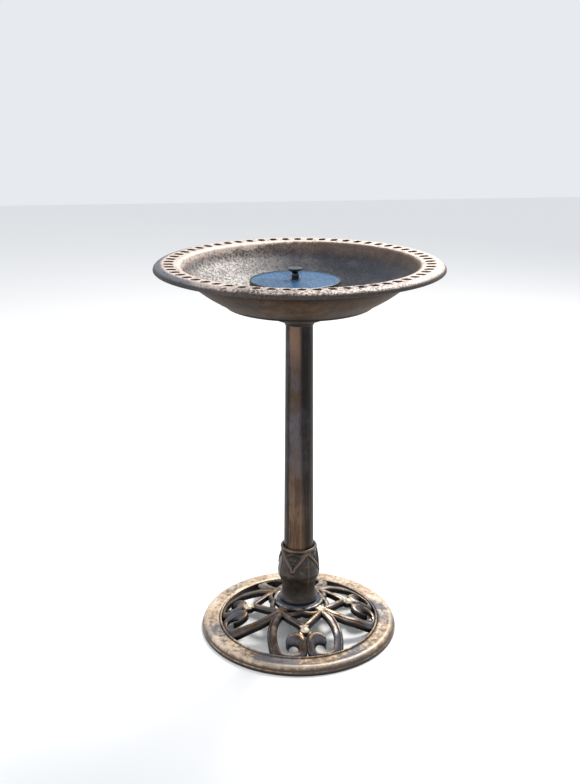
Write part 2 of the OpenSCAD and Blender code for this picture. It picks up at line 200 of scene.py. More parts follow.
class Paint:
    """A material built up from expressions. Places are in metres, in the part's own frame."""

    def __init__(self, name):
        self.material = bpy.data.materials.new(name)
        self.material.use_nodes = True
        self.tree = self.material.node_tree
        self.shader = next(n for n in self.tree.nodes if n.type == "BSDF_PRINCIPLED")
        where = self.node("ShaderNodeTexCoord")
        self.place = where.outputs["Object"]
        self.x, self.y, self.z = self.split(self.place)
        self.up = self.split(where.outputs["Normal"])[2]

    def node(self, kind, settings=None, inputs=None):
        """Adds a node, sets its settings first, then fills or links its sockets."""
        node = self.tree.nodes.new(kind)
        for key, value in (settings or {}).items():
            setattr(node, key, value)
        self.fill(node, inputs or {})
        return node

    def fill(self, node, inputs):
        """Links or sets the sockets of a node."""
        for key, value in inputs.items():
            value = value.socket if isinstance(value, Val) else value
            if isinstance(value, bpy.types.NodeSocket):
                self.tree.links.new(value, node.inputs[key])
            else:
                node.inputs[key].default_value = value

    def maths(self, operation, *values):
        node = self.node("ShaderNodeMath", {"operation": operation}, dict(enumerate(values)))
        return Val(self, node.outputs[0])

    def split(self, vector):
        """The three parts of a vector or a colour, as values."""
        node = self.node("ShaderNodeSeparateXYZ", inputs={0: vector})
        return [Val(self, node.outputs[k]) for k in range(3)]

    def stretched(self, x, y, z):
        """The place, stretched by a factor along each axis."""
        node = self.node("ShaderNodeVectorMath", {"operation": "MULTIPLY"}, {0: self.place, 1: (x, y, z)})
        return node.outputs[0]

    def shifted(self, x, y, z):
        """The place, moved by metres along each axis."""
        node = self.node("ShaderNodeVectorMath", {"operation": "ADD"}, {0: self.place, 1: (x, y, z)})
        return node.outputs[0]

    def noise(self, scale, detail=4.0, rough=0.55, at=None, twist=0.0):
        node = self.node(
            "ShaderNodeTexNoise",
            inputs={"Vector": at or self.place, "Scale": scale, "Detail": detail, "Roughness": rough,
                    "Distortion": twist},
        )
        return Val(self, node.outputs[0])

    def cells(self, scale, at=None):
        """Distance to the nearest of a scatter of points, and a random value for each."""
        node = self.node("ShaderNodeTexVoronoi", inputs={"Vector": at or self.place, "Scale": scale})
        return Val(self, node.outputs["Distance"]), self.split(node.outputs["Color"])[0]

    def specks(self, scale, size, share):
        """Round splashes, size across as a share of their spacing, in a share of the places."""
        distance, lot = self.cells(scale)
        edge = lot * size + size * 0.3
        return (distance - edge).step(0.04, -0.04) * lot.step(1.0 - share, 1.0 - share + 0.02)

    def radius(self):
        return self.maths("SQRT", self.x * self.x + self.y * self.y)

    def bearing(self):
        return self.maths("ARCTAN2", self.y, self.x)

    def blend(self, amount, below, above):
        """The colour below with the colour above laid over it, where amount is 1."""
        sockets = {0: amount, 6: self.opaque(below), 7: self.opaque(above)}
        return self.node("ShaderNodeMix", {"data_type": "RGBA"}, sockets).outputs[2]

    @staticmethod
    def opaque(value):
        return value if isinstance(value, bpy.types.NodeSocket) else (*value, 1.0)

    def layers(self, ground, *coats):
        """Lays coats over a ground colour, each as its amount and its colour."""
        for amount, coat in coats:
            ground = self.blend(amount, ground, coat)
        return ground

    def finish(self, colour, rough, bump=None, depth=0.0002, metal=0.0, **constants):
        """Connects the colour, roughness and relief, and sets what is the same all over."""
        self.fill(self.shader, {"Base Color": self.opaque(colour), "Roughness": rough, "Metallic": metal})
        if bump is not None:
            relief = self.node("ShaderNodeBump", inputs={"Height": bump, "Distance": depth})
            self.fill(self.shader, {"Normal": relief.outputs[0]})
        for key, value in constants.items():
            self.fill(self.shader, {key.replace("_", " ").title().replace("Ior", "IOR"): value})
        return self.material


# ------------------------------------------------------------------ finishes


def colours():
    return bpy.context.scene.bath_finishes


def ring_bronze():
    """Cream and gold rubbed paint on the base ring, with slate bloom and dark pits, painted shade on its
    front and inner wall, a painted highlight along its rolled edge and a painted shadow of the pole.
    """
    c = colours()
    p = Paint("ring_bronze")
    radius = p.radius()
    top = p.up.step(0.3, 0.8)
    cloud = p.noise(15, 6, 0.62)
    drift = p.noise(7, 4, 0.6, p.shifted(3.1, 1.7, 0.4))
    grain = p.noise(420, 4, 0.75)
    rubbed = p.noise(110, 6, 0.72)
    bloom = (drift + rubbed * 0.35 + grain * 0.12).step(0.73, 0.84)
    # Painted shade: towards the front the ring's top is laid in more gold and umber
    front = (p.y * -1.0 + (cloud - 0.5) * 0.3).step(0.0, 0.16)
    # Painted shadow of the pole, laid in slate at the front
    pole_shadow = (p.x + 0.072 + (rubbed - 0.5) * 0.03).step(-0.032, -0.026) * (p.x + 0.022).step(0.006, 0.0)
    pole_shadow = pole_shadow * p.y.step(-0.125, -0.13) * (radius + (grain - 0.5) * 0.02).step(0.184, 0.178)
    side = p.layers(
        c.umber,
        ((p.z + rubbed * 0.008).step(0.011, 0.02) * 0.4, c.gold),
        ((rubbed * 0.7 + grain * 0.3).step(0.42, 0.6) * 0.75, c.umber),
        ((p.z + grain * 0.003).step(0.0075, 0.003), c.soot),
    )
    flat = p.layers(
        c.cream,
        ((cloud * 0.6 + rubbed * 0.4).step(0.42, 0.6) * 0.75, c.gold),
        (front * 0.5, c.gold),
        ((rubbed + front * 0.12).step(0.5, 0.72) * 0.7, c.umber),
        (bloom * 0.85, c.slate),
        # Painted shadow of the pole
        (pole_shadow * 0.75, c.slate),
        ((grain * 0.6 + rubbed * 0.4).step(0.52, 0.66) * 0.6, c.umber),
        # Cream along the rolled outer edge: rubbing, and a painted highlight
        ((radius + (cloud - 0.5) * 0.006).step(0.173, 0.177) * radius.step(0.1835, 0.1795) * 0.45, c.cream),
        (p.specks(330, 0.24, 0.2) * 0.85, c.soot),
    )
    # The groove outside the bead, and painted shade on the ring's inner wall
    groove = abs(radius - 0.1534).step(0.0014, 0.0006) * top
    inner = radius.step(0.1512, 0.1503) * p.z.step(0.0168, 0.0152)
    paint = p.layers(side, (top, flat), (groove * 0.9, c.soot), (inner, c.soot))
    return p.finish(paint, 0.3 + grain * 0.3, grain * 0.6 + rubbed * 0.5, 0.0005, metal=0.4)


def scroll_bronze():
    """Dark bronze bars, rubbed pale on the knobs, pale along their crests from rubbing and painted highlight,
    with painted shade next to the ring.
    """
    c = colours()
    p = Paint("scroll_bronze")
    grain = p.noise(380, 4, 0.7)
    rubbed = p.noise(60, 6, 0.68)
    warm = p.noise(22, 4, 0.6, p.shifted(0.7, 2.2, 0.1))
    crest_rub_and_highlight = (p.up + grain * 0.16 + rubbed * 0.3).step(1.06, 1.3)
    near_axis = p.maths("MINIMUM", abs(p.x), abs(p.y))
    knob = abs(p.radius() - KNOB_PLACE * MM).step(0.0102, 0.0085) * near_axis.step(0.0102, 0.0085)
    knob = knob * p.up.step(0.3, 0.7)
    paint = p.layers(
        c.soot,
        (p.up.step(0.1, 0.85) * 0.9, c.umber),
        (warm.step(0.42, 0.6) * p.up.step(0.2, 0.8) * 0.7, c.slate),
        # Crests: rubbing, and a painted highlight that is paler towards +x
        (crest_rub_and_highlight * 0.7, c.gold),
        (crest_rub_and_highlight * (rubbed + p.x * 1.0).step(0.46, 0.68) * 0.75, c.cream),
        (p.specks(300, 0.2, 0.1) * 0.6, c.soot),
        # Painted shade on the bars next to the ring
        (p.radius().step(0.1445, 0.1475) * 0.6, c.soot),
        (knob * (0.8 + rubbed * 0.3), c.cream),
    )
    return p.finish(paint, 0.2 + grain * 0.28, grain * 0.7 + rubbed * 0.6, 0.0006, metal=0.55)


def hub_bronze():
    """Dished flange round the collar's foot: slate on dark bronze as bloom and painted reflection of the sky,
    bright along its bead from rubbing and painted highlight.
    """
    c = colours()
    p = Paint("hub_bronze")
    grain = p.noise(380, 4, 0.7)
    rubbed = p.noise(70, 6, 0.68)
    bead = abs(p.radius() - 0.0444).step(0.003, 0.001)
    paint = p.layers(
        c.soot,
        # Slate, more on the upper faces: bloom, and a painted reflection of the sky
        ((rubbed + p.up * 0.2).step(0.5, 0.72) * 0.85, c.slate),
        ((rubbed * 0.6 + grain * 0.4).step(0.54, 0.66) * 0.5, c.umber),
        # Along the bead: rubbing, and a painted highlight
        (bead * rubbed.step(0.4, 0.6) * 0.75, c.cream),
    )
    return p.finish(paint, 0.18 + grain * 0.25, grain * 0.6 + rubbed * 0.6, 0.0005, metal=0.55)


def collar_bronze():
    """Near-black bronze, rubbed brown and copper where the leaves stand out."""
    c = colours()
    p = Paint("collar_bronze")
    grain = p.noise(330, 4, 0.7)
    rubbed = p.noise(60, 5, 0.65)
    proud = Val(p, p.node("ShaderNodeAttribute", {"attribute_name": "proud"}).outputs["Fac"])
    paint = p.layers(
        c.soot,
        (rubbed.step(0.35, 0.7) * 0.5, c.umber),
        ((rubbed * 0.6 + grain * 0.4).step(0.52, 0.66) * p.z.step(0.085, 0.115) * 0.45, c.gold),
        ((proud + rubbed * 0.8 + grain * 0.3).step(0.6, 1.7) * 0.4, c.copper),
        ((proud + rubbed * 0.5 + grain * 0.4).step(1.4, 1.85) * 0.2, c.cream),
        ((proud * -1.0).step(0.2, 0.9) * 0.8, c.soot),
        (p.up.step(0.75, 0.98) * 0.5, c.slate),
    )
    return p.finish(paint, 0.22 + grain * 0.25, grain * 0.5 + rubbed * 0.6, 0.0005, metal=0.3)


def pole_bronze():
    """Near-black bronze paint drawn down the pole in long streaks, with a painted highlight as a pale stripe
    along one side.
    """
    c = colours()
    p = Paint("pole_bronze")
    streak = p.noise(1.0, 6, 0.65, p.stretched(230, 230, 9))
    fine = p.noise(1.0, 4, 0.7, p.stretched(900, 900, 60))
    cloud = p.noise(14, 5, 0.6)
    low = p.z.step(0.42, 0.18)
    high = p.z.step(0.5, 0.58)
    # A painted highlight runs down one side as a pale stripe, and is wider low down
    across = p.x + (streak - 0.5) * 0.012 + (cloud - 0.5) * 0.006
    highlight_band = across.step(-0.0215, -0.0155) * across.step(0.003 + low * 0.009, low * 0.006 - 0.005)
    highlight_band = highlight_band * p.y.step(0.014, -0.008)
    paint = p.layers(
        c.soot,
        (streak.step(0.45, 0.7) * 0.5, c.umber),
        (cloud.step(0.45, 0.66) * (1.0 - low) * 0.25, c.slate),
        # Painted highlight down one side, in pale copper
        (highlight_band * (0.22 + high * 0.4), c.copper),
        (highlight_band * (1.0 - high) * (1.0 - low) * cloud.step(0.4, 0.6) * 0.5, c.slate),
        (low * (streak * 0.5 + cloud * 0.5).step(0.44, 0.6) * (0.12 + highlight_band * 0.3), c.gold),
        (fine.step(0.52, 0.7) * 0.6, c.soot),
    )
    relief = streak * 0.6 + fine * 0.4
    rough = 0.24 + fine * 0.2 + streak * 0.1
    return p.finish(paint, rough, relief, 0.0003, metal=highlight_band * 0.35, specular_ior_level=0.12)


def head_bronze():
    """Near-black bronze on the pole's head, rubbed along the flange's edge."""
    c = colours()
    p = Paint("head_bronze")
    grain = p.noise(300, 4, 0.7)
    rubbed = p.noise(50, 5, 0.65)
    paint = p.layers(
        c.soot,
        (rubbed.step(0.4, 0.65) * 0.25, c.umber),
        ((p.radius() + rubbed * 0.004).step(0.0455, 0.0485) * 0.2, c.copper),
    )
    relief = grain * 0.5 + rubbed * 0.5
    return p.finish(paint, 0.3 + grain * 0.2, relief, 0.0004, metal=0.1, specular_ior_level=0.25)


def basin_paint():
    """Speckled copper paint: pale rim, dark navy inside with a pale wash on its lit side as painted light,
    brown belly, painted shade in the rim's openings and at and under its lip, and a painted reflection of the
    sky on the lip.
    """
    c = colours()
    p = Paint("basin_paint")
    radius = p.radius()
    grain = p.noise(330, 4, 0.7)
    mottle = p.noise(38, 6, 0.66)
    cloud = p.noise(9, 5, 0.6, p.shifted(1.3, 0.2, 2.0))
    # Painted light: the inside is paler on one side of the bowl, where light falls, laid as a speckled pale
    # wash
    side = (p.x * -1.0 + p.y * 0.25 + (cloud - 0.5) * 0.22 + (mottle - 0.5) * 0.14).step(-0.01, 0.17)
    spray = p.specks(165, 0.4, 0.5) + p.specks(290, 0.36, 0.5)
    blots = p.specks(120, 0.22, 0.2)
    chips = (p.noise(230, 3, 0.8) + mottle * 0.2).step(0.6, 0.67)
    dust = (grain - 0.5) * 0.03
    inside = p.layers(
        c.navy,
        ((mottle + grain * 0.25).step(0.58, 0.76) * 0.3, c.slate),
        (side * (mottle * 0.8 + grain * 0.45 + 0.05).step(0.48, 0.66) * 0.9, c.ash),
        # On the lit side the band near the rim has less umber and more copper: painted light
        ((radius + dust + (mottle - 0.5) * 0.02).step(0.184, 0.204) * (0.75 - side * 0.35), c.umber),
        ((radius + dust + (mottle - 0.5) * 0.02).step(0.194, 0.212) * (0.3 + side * 0.45), c.copper),
        (side * spray * 0.85, c.soot),
        (side * chips * 0.85, c.soot),
        ((radius + dust * 0.4 + (mottle - 0.5) * 0.006 + side * 0.008).step(0.2095, 0.2145), c.rim),
        ((spray + chips * 0.5) * (radius + (cloud - 0.5) * 0.03).step(0.22, 0.195) * 0.4, c.soot),
    )
    # Painted reflection of the sky: slate on the outer lip towards -x
    lip_sky_reflection = (p.x * -1.0 + (cloud - 0.5) * 0.1).step(0.12, 0.22) * radius.step(0.236, 0.243)
    # Towards the front the outer lip is browner, painted shade, and more thickly speckled
    front = (p.y * -1.0 - abs(p.x) * 0.3 + (cloud - 0.5) * 0.15).step(0.08, 0.2)
    rim = p.layers(
        c.rim,
        (mottle.step(0.45, 0.66) * 0.35, c.copper),
        # Painted reflection of the sky on the lip
        (lip_sky_reflection * 0.95, c.slate),
        # Painted shade at the lip's outer edge and underneath
        (radius.step(0.2492, 0.2528) * 0.95, c.soot),
        # Painted shade at the front of the lip, in mottled brown
        (front * radius.step(0.238, 0.246) * (mottle + grain * 0.3).step(0.5, 0.8) * 0.5, c.belly),
        (front * (spray * 0.9 + chips), c.soot),
        ((p.specks(210, 0.3, 0.3) + chips * 0.3) * 0.7, c.umber),
        (blots * (cloud + grain * 0.2).step(0.5, 0.75) * 0.85, c.soot),
        ((p.specks(520, 0.3, 0.25) + chips * 0.4) * 0.6, c.umber),
    )
    # The rim outside the bowl, then painted shade on the walls of its openings and on the rim's downward
    # faces
    on_rim = radius.step(0.2115, 0.2135)
    wall = radius.step(0.2155, 0.2165) * radius.step(0.2392, 0.2384) * abs(p.up).step(0.93, 0.75)
    paint = p.layers(inside, (on_rim, rim), (wall, c.soot), (p.up.step(-0.05, -0.25) * on_rim, c.soot))
    relief = grain * 0.5 + mottle * 0.6 + spray * 0.12 - chips * 0.3
    return p.finish(paint, 0.34 + grain * 0.28, relief, 0.0005, metal=0.15)


def belly_paint():
    """Brown underside of the basin, with painted shade under the rim, along its ledge and towards the foot.
    """
    c = colours()
    p = Paint("belly_paint")
    grain = p.noise(330, 4, 0.7)
    mottle = p.noise(38, 6, 0.66)
    cloud = p.noise(9, 5, 0.6, p.shifted(1.3, 0.2, 2.0))
    streak = p.noise(1.0, 5, 0.6, p.stretched(70, 70, 9))
    radius = p.radius()
    paint = p.layers(
        c.belly,
        ((streak * 0.5 + mottle * 0.5).step(0.42, 0.6) * 0.3, c.umber),
        ((cloud * 0.5 + streak * 0.3 + grain * 0.2).step(0.46, 0.68) * 0.25, c.gold),
        ((grain * 0.5 + mottle * 0.5).step(0.46, 0.62) * 0.7, c.soot),
        # Painted shade towards the foot, along the ledge and under the rim
        ((p.z + grain * 0.004).step(0.65, 0.634) * 0.9, c.soot),
        (abs(radius - 0.1315).step(0.007, 0.001) * 0.7, c.soot),
        (radius.step(0.19, 0.207) * 0.9, c.soot),
    )
    relief = grain * 0.5 + mottle * 0.6
    return p.finish(paint, 0.5 + grain * 0.2, relief, 0.0005, metal=0.05, specular_ior_level=0.1)


def moulded(name, rgb, rough=0.4, texture=700, **constants):
    """Moulded plastic or rubber with a fine skin and faint clouding."""
    p = Paint(name)
    skin = p.noise(texture, 3, 0.6)
    cloud = p.noise(40, 4, 0.6)
    darker = tuple(v * 0.62 for v in rgb)
    lighter = tuple(min(v * 1.25 + 0.006, 1.0) for v in rgb)
    paint = p.layers(rgb, (cloud.step(0.4, 0.7) * 0.5, lighter), (skin.step(0.5, 0.75) * 0.45, darker))
    return p.finish(paint, rough + (cloud - 0.5) * 0.16 + (skin - 0.5) * 0.1, skin, 0.0001, **constants)


def plated(name, pitch=None):
    """Zinc-plated or stainless steel; a pitch in metres adds a screw thread."""
    p = Paint(name)
    brushed = p.noise(1.0, 4, 0.6, p.stretched(300, 300, 1500))
    stain = p.noise(60, 5, 0.65)
    steel, dull = tint(196, 198, 200), tint(140, 138, 130)
    relief = brushed * 0.15
    if pitch:
        turn = p.bearing() / (2 * math.pi)
        wave = p.maths("PINGPONG", p.z / pitch + turn, 0.5)
        relief = wave * 2.0
    paint = p.layers(steel, (stain.step(0.45, 0.7) * 0.6, dull), (brushed.step(0.5, 0.7) * 0.2, dull))
    return p.finish(paint, 0.24 + stain * 0.25, relief, 0.0006 if pitch else 0.0001, metal=1.0)


def solar_cell():
    """Blue crystalline cell with fine fingers and two bars."""
    c = colours()
    p = Paint("solar_cell")
    distance, lot = p.cells(150)
    across = p.maths("PINGPONG", p.y, 0.0012)
    finger = across.step(0.00016, 0.00008)
    bar = p.maths("PINGPONG", p.x + 0.008, 0.006).step(0.0006, 0.0004)
    silver, deep = tint(150, 180, 214), tuple(v * 0.7 for v in c.cell)
    paint = p.layers(c.cell, (lot * 0.6, deep), (finger * 0.35, silver), (bar * 0.5, silver))
    return p.finish(paint, 0.22 + lot * 0.1, distance, 0.00005)


def panel_resin():
    """Clear resin over the cells, faintly blue and nearly smooth."""
    p = Paint("panel_resin")
    ripple = p.noise(55, 3, 0.5)
    dust = p.noise(500, 4, 0.7)
    paint = p.layers(tint(92, 140, 184), (dust.step(0.5, 0.72) * 0.6, tint(200, 208, 216)))
    return p.finish(paint, 0.16 + dust * 0.14, ripple, 0.0003, alpha=0.3, specular_ior_level=0.3)


def circuit_green():
    """Green circuit board with darker tracks."""
    p = Paint("circuit_green")
    tracks = p.maths("PINGPONG", p.x + p.y, 0.0016).step(0.0005, 0.0003)
    cloud = p.noise(80, 3, 0.5)
    paint = p.layers(
        tint(30, 92, 52), (tracks * 0.6, tint(18, 60, 34)), (cloud.step(0.5, 0.7) * 0.2, tint(60, 120, 80))
    )
    return p.finish(paint, 0.35 + cloud * 0.1, tracks, 0.0001)


def wound_copper():
    """Enamelled copper turns round a laminated core."""
    p = Paint("wound_copper")
    turns = p.maths("PINGPONG", p.z, 0.00025) * 4000
    varnish = p.noise(200, 3, 0.6)
    gaps = turns.step(0.4, 0.0)
    paint = p.layers(tint(184, 104, 58), (gaps * 0.6, tint(96, 48, 26)), (varnish * 0.3, tint(214, 140, 84)))
    return p.finish(paint, 0.3 + varnish * 0.1, turns, 0.0001, metal=0.8)


# ------------------------------------------------------------------ shapes


def arc(cx, cy, r, start, end, steps):
    """Points on an arc, with its angles in degrees."""
    turns = [math.radians(start + (end - start) * k / steps) for k in range(steps + 1)]
    return [(cx + r * math.cos(a), cy + r * math.sin(a)) for a in turns]


def smooth_line(points, per=6):
    """A smooth line through points of any number of values, with per steps between two."""
    line = [points[0], *points, points[-1]]
    out = []
    for a, b, c, d in zip(line, line[1:], line[2:], line[3:]):
        for k in range(per):
            t = k / per
            out.append(tuple(
                0.5 * (2 * q + (r - p) * t + (2 * p - 5 * q + 4 * r - s) * t * t
                       + (3 * q - p - 3 * r + s) * t ** 3)
                for p, q, r, s in zip(a, b, c, d)
            ))
    return out + [tuple(points[-1])]


def lifted(height, points):
    """Points of an outline, given as (radius, height above a level)."""
    return [(r, height + z) for r, z in points]


class Shape:
    """A mesh being built, in millimetres. Each face remembers its finish."""

    def __init__(self):
        self.corners = []
        self.faces = []
        self.finishes = []

    def grid(self, rows, wrap_rows=False, wrap_columns=False, finish=0):
        """Joins rows of points into quads."""
        first = len(self.corners)
        wide = len(rows[0])
        for row in rows:
            self.corners.extend(row)
        for i in range(len(rows) if wrap_rows else len(rows) - 1):
            for j in range(wide if wrap_columns else wide - 1):
                a, b = i * wide, (i + 1) % len(rows) * wide
                k = (j + 1) % wide
                self.faces.append([first + a + j, first + a + k, first + b + k, first + b + j])
                self.finishes.append(finish)

    def cap(self, row, finish=0):
        """Closes a loop of points with one face."""
        first = len(self.corners)
        self.corners.extend(row)
        self.faces.append(list(range(first, first + len(row))))
        self.finishes.append(finish)

    def lathe(self, outline, steps=192, centre=(0.0, 0.0), closed=True, finish=0, relief=None):
        """Turns an outline of (radius, height) about an upright axis.

        relief(angle, r, z) adds to the radius.
        """
        rows = []
        for k in range(steps):
            a = 2 * math.pi * k / steps
            row = []
            for r, z in outline:
                out = r + (relief(a, r, z) if relief else 0.0)
                row.append((centre[0] + out * math.cos(a), centre[1] + out * math.sin(a), z))
            rows.append(row)
        self.grid(rows, wrap_rows=True, wrap_columns=closed, finish=finish)

    def sweep(self, line, widths, section, height, depth, turn=0.0, finish=0):
        """Runs a bar along a plan line.

        section gives its top as (side from -1 to 1, drop), and height(radius) lays it on the dome.
        """
        co, si = math.cos(turn), math.sin(turn)
        rows = []
        for i, (x, y) in enumerate(line):
            a, b = line[max(i - 1, 0)], line[min(i + 1, len(line) - 1)]
            span = math.hypot(b[0] - a[0], b[1] - a[1])
            nx, ny = -(b[1] - a[1]) / span, (b[0] - a[0]) / span
            row = []
            for side, drop in [*section, (0.92, depth), (-0.92, depth)]:
                px, py = x + nx * side * widths[i] / 2, y + ny * side * widths[i] / 2
                row.append((px * co - py * si, px * si + py * co, height(math.hypot(px, py)) - drop))
            rows.append(row)
        self.grid(rows, wrap_columns=True, finish=finish)
        self.cap(rows[0], finish)
        self.cap(rows[-1][::-1], finish)

    def piece(self, name, body, node, finishes, sharp=38.0):
        """Makes the object, welds it, and lets it stand for a node of the frame."""
        mesh = bpy.data.meshes.new(name)
        mesh.from_pydata([(x * MM, y * MM, z * MM) for x, y, z in self.corners], [], self.faces)
        mesh.polygons.foreach_set("material_index", self.finishes)
        work = bmesh.new()
        work.from_mesh(mesh)
        bmesh.ops.remove_doubles(work, verts=work.verts, dist=0.00001)
        bmesh.ops.dissolve_degenerate(work, edges=work.edges, dist=0.000005)
        bmesh.ops.recalc_face_normals(work, faces=work.faces)
        work.to_mesh(mesh)
        work.free()
        mesh.shade_smooth()
        mesh.set_sharp_from_angle(angle=math.radians(sharp))
        for material in finishes:
            mesh.materials.append(material)
        thing = bpy.data.objects.new(name, mesh)
        bpy.context.scene.collection.objects.link(thing)
        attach(thing, body)
        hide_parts(node)
        return thing


def repaint(node, material):
    """Gives a node of the frame its finish."""
    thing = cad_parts[node]
    for slot in thing.material_slots:
        slot.material = material


# ------------------------------------------------------------------ basin


def stadium(direction, length, width):
    """Distance from the middle of an oval to its edge, in a direction. Its length runs along the radius."""
    half, run = width / 2, (length - width) / 2
    co, si = abs(math.cos(direction)), abs(math.sin(direction))
    if si > 1e-9 and half * co / si <= run:
        return half / si
    return run * co + math.sqrt(max(half * half - (run * si) ** 2, 0.0))


def slot_cell(shape, sizes, turn, inner, outer, top):
    """One opening with the piece of rim round it, between two circles.

    top(radius) is the height of the rim's upper face.
    """
    half = math.pi / sizes.slots
    arms = [(inner, half * (k / 2 - 1)) for k in range(4)]
    arms += [(inner + (outer - inner) * k / 6, half) for k in range(6)]
    arms += [(outer, half * (1 - k / 2)) for k in range(4)]
    arms += [(outer - (outer - inner) * k / 6, -half) for k in range(6)]
    middle = sizes.slot_middle

    def loop(swell, drop, share=0.0):
        row = []
        for r, a in arms:
            along, across = r * math.cos(a) - middle, r * math.sin(a)
            reach = math.hypot(along, across)
            way = math.atan2(across, along)
            edge = stadium(way, sizes.slot_length + 2 * swell, sizes.slot_width + 2 * swell)
            out = edge + (reach - edge) * share
            x, y = middle + out * math.cos(way), out * math.sin(way)
            if share == 1.0:
                x, y = r * math.cos(a), r * math.sin(a)
            row.append((
                x * math.cos(turn) - y * math.sin(turn),
                x * math.sin(turn) + y * math.cos(turn),
                top(math.hypot(x, y)) - drop,
            ))
        return row

    edge = sizes.slot_round
    rows = [loop(0, 0, 1.0), loop(edge, 0, 0.5), loop(edge, 0)]
    rows += [loop(edge * (1 - math.sin(a)), edge * (1 - math.cos(a))) for a in (0.5, 1.0, math.pi / 2)]
    wall = sizes.wall
    rows += [loop(0, wall - 0.4), loop(0.4, wall), loop(0.4, wall, 0.5), loop(0, wall, 1.0)]
    shape.grid(rows, wrap_columns=True)


class BATH_OT_basin(bpy.types.Operator):
    """Shape and paint the basin, with its pierced rim and threaded foot"""

    bl_idname = "bath.basin"
    bl_label = "Make Basin"

    def execute(self, context):
        sizes = context.scene.bath_basin
        rim_r, rim_z = reach_of("basin"), top_of("basin")
        stub_z = foot_of("basin")
        foot = stub_z + 16
        lip, drop = 16.0, 9.5
        inner, outer, crown = 214.5, 240.5, rim_r - lip
        steps = sizes.slots * 4

        def top(r):
            if r > crown:
                return rim_z - drop + drop * math.sqrt(1 - ((r - crown) / lip) ** 2)
            return rim_z - (crown - r) * 0.048

        shape = Shape()
        for k in range(sizes.slots):
            slot_cell(shape, sizes, 2 * math.pi * k / sizes.slots, inner, outer, top)
        # Rounded lip, down from the crown and back underneath
        brow = rim_z - drop
        start = math.asin((outer - crown) / lip)
        turns = [start + (math.pi / 2 - start) * k / 12 for k in range(13)]
        over = [(crown + lip * math.sin(a), brow + drop * math.cos(a)) for a in turns]
        edge = [(rim_r, brow - 0.6), (rim_r - 0.6, brow - 1.2), (rim_r - 2.6, brow - 1.3),
                (rim_r - 3.3, brow - 0.7)]
        inset = lip - sizes.wall
        under = [(crown + inset * math.sin(a), brow + (drop - sizes.wall) * math.cos(a)) for a in
                 [math.radians(90 - 10 * k) for k in range(9)]]
        under = [point for point in under if point[0] > outer + 0.3]
        shape.lathe(over + edge + under + [(outer, top(outer) - sizes.wall)], steps, closed=False)
        # Inside of the bowl, from the rim to the middle of its floor
        bowl = smooth_line([(inner, top(inner)), (210, rim_z - 2.6), (207, rim_z - 5.6)] + lifted(foot, [
            (204.9, 82.0), (201, 75.4), (192.9, 65.4), (178, 53.6), (163.9, 42.6), (146, 31.8), (131, 23.4),
            (122, 20.0), (100, 14.6), (70, 8.4), (50, 4.5), (25, 4.5), (0.02, 4.5),
        ]), 5)
        shape.lathe(bowl, steps, closed=False)
        # Outside, down to the foot and the threaded stub
        side = smooth_line([(inner, top(inner) - sizes.wall)] + lifted(foot, [
            (210.4, 82.4), (206, 75.6), (196, 63.4), (182, 51.4), (166, 39.4), (148, 28), (133.4, 19.6),
        ]), 5)
        ledge = lifted(foot, [(132.2, 18.6), (131, 17.6), (130.4, 16.2), (129.2, 15.6), (127.6, 15.6)])
        belly = smooth_line(lifted(foot, [(126.2, 15.8), (100, 10), (70, 4), (46.6, 0.2), (44, 0)]), 5)
        shape.lathe(side + ledge + belly + [(16, foot)], steps, closed=False, finish=1)

        def thread(angle, r, z):
            if r < 15 or not stub_z + 1 < z < foot - 1:
                return 0.0
            turn = (z / sizes.thread_pitch - angle / (2 * math.pi)) % 1.0
            return -1.0 + 2.0 * min(max(abs(turn - 0.5) * 2 - 0.15, 0.0), 0.5)

        stub = [(16, foot - 16 * k / 48) for k in range(49)]
        shape.lathe(stub + [(15, stub_z), (0.02, stub_z)], 96, closed=False, finish=1, relief=thread)
        shape.piece("basin_shell", "basin", "basin", [basin_paint(), belly_paint()])
        return {"FINISHED"}


# ------------------------------------------------------------------ base

RING, SCROLL, HUB = range(3)
KNOB_PLACE = 97
CREST = [(-1, 5.2), (-0.97, 3.2), (-0.88, 1.5), (-0.7, 0.5), (-0.45, 0.08), (-0.15, 0.0), (0.1, 0.35),
         (0.28, 1.1), (0.38, 1.9), (0.45, 1.3), (0.55, 0.75), (0.68, 0.7), (0.82, 1.4), (0.94, 3.0), (1, 5.2)]
ROUND = [(math.sin(math.radians(a)), 4.2 * (1 - math.cos(math.radians(a)))) for a in range(-90, 91, 15)]


def dome(radius):
    """Height of the scrollwork's upper face at a distance from the axis."""
    knots = [(0, 54.5), (40, 53.6), (48, 52.8), (85, 45.8), (120, 33.8), (140, 21.6), (151, 14.6),
             (160, 12.2)]
    for (r0, z0), (r1, z1) in zip(knots, knots[1:]):
        if radius <= r1:
            return z0 + (z1 - z0) * (radius - r0) / (r1 - r0)
    return knots[-1][1]


def petal_line(side):
    """Half of a petal's outline: a long side arc, then a tight arc at its foot."""
    cx, cy, r, join, foot = 104.0, -34.0, 95.5, 75.0, 26.0
    fx = cx + (r - foot) * math.cos(math.radians(join))
    fy = cy + (r - foot) * math.sin(math.radians(join))
    line = arc(cx, cy, r, 139, join, 26) + arc(fx, fy, foot, join - 4, -14, 18)
    return [(x, y * side) for x, y in line]


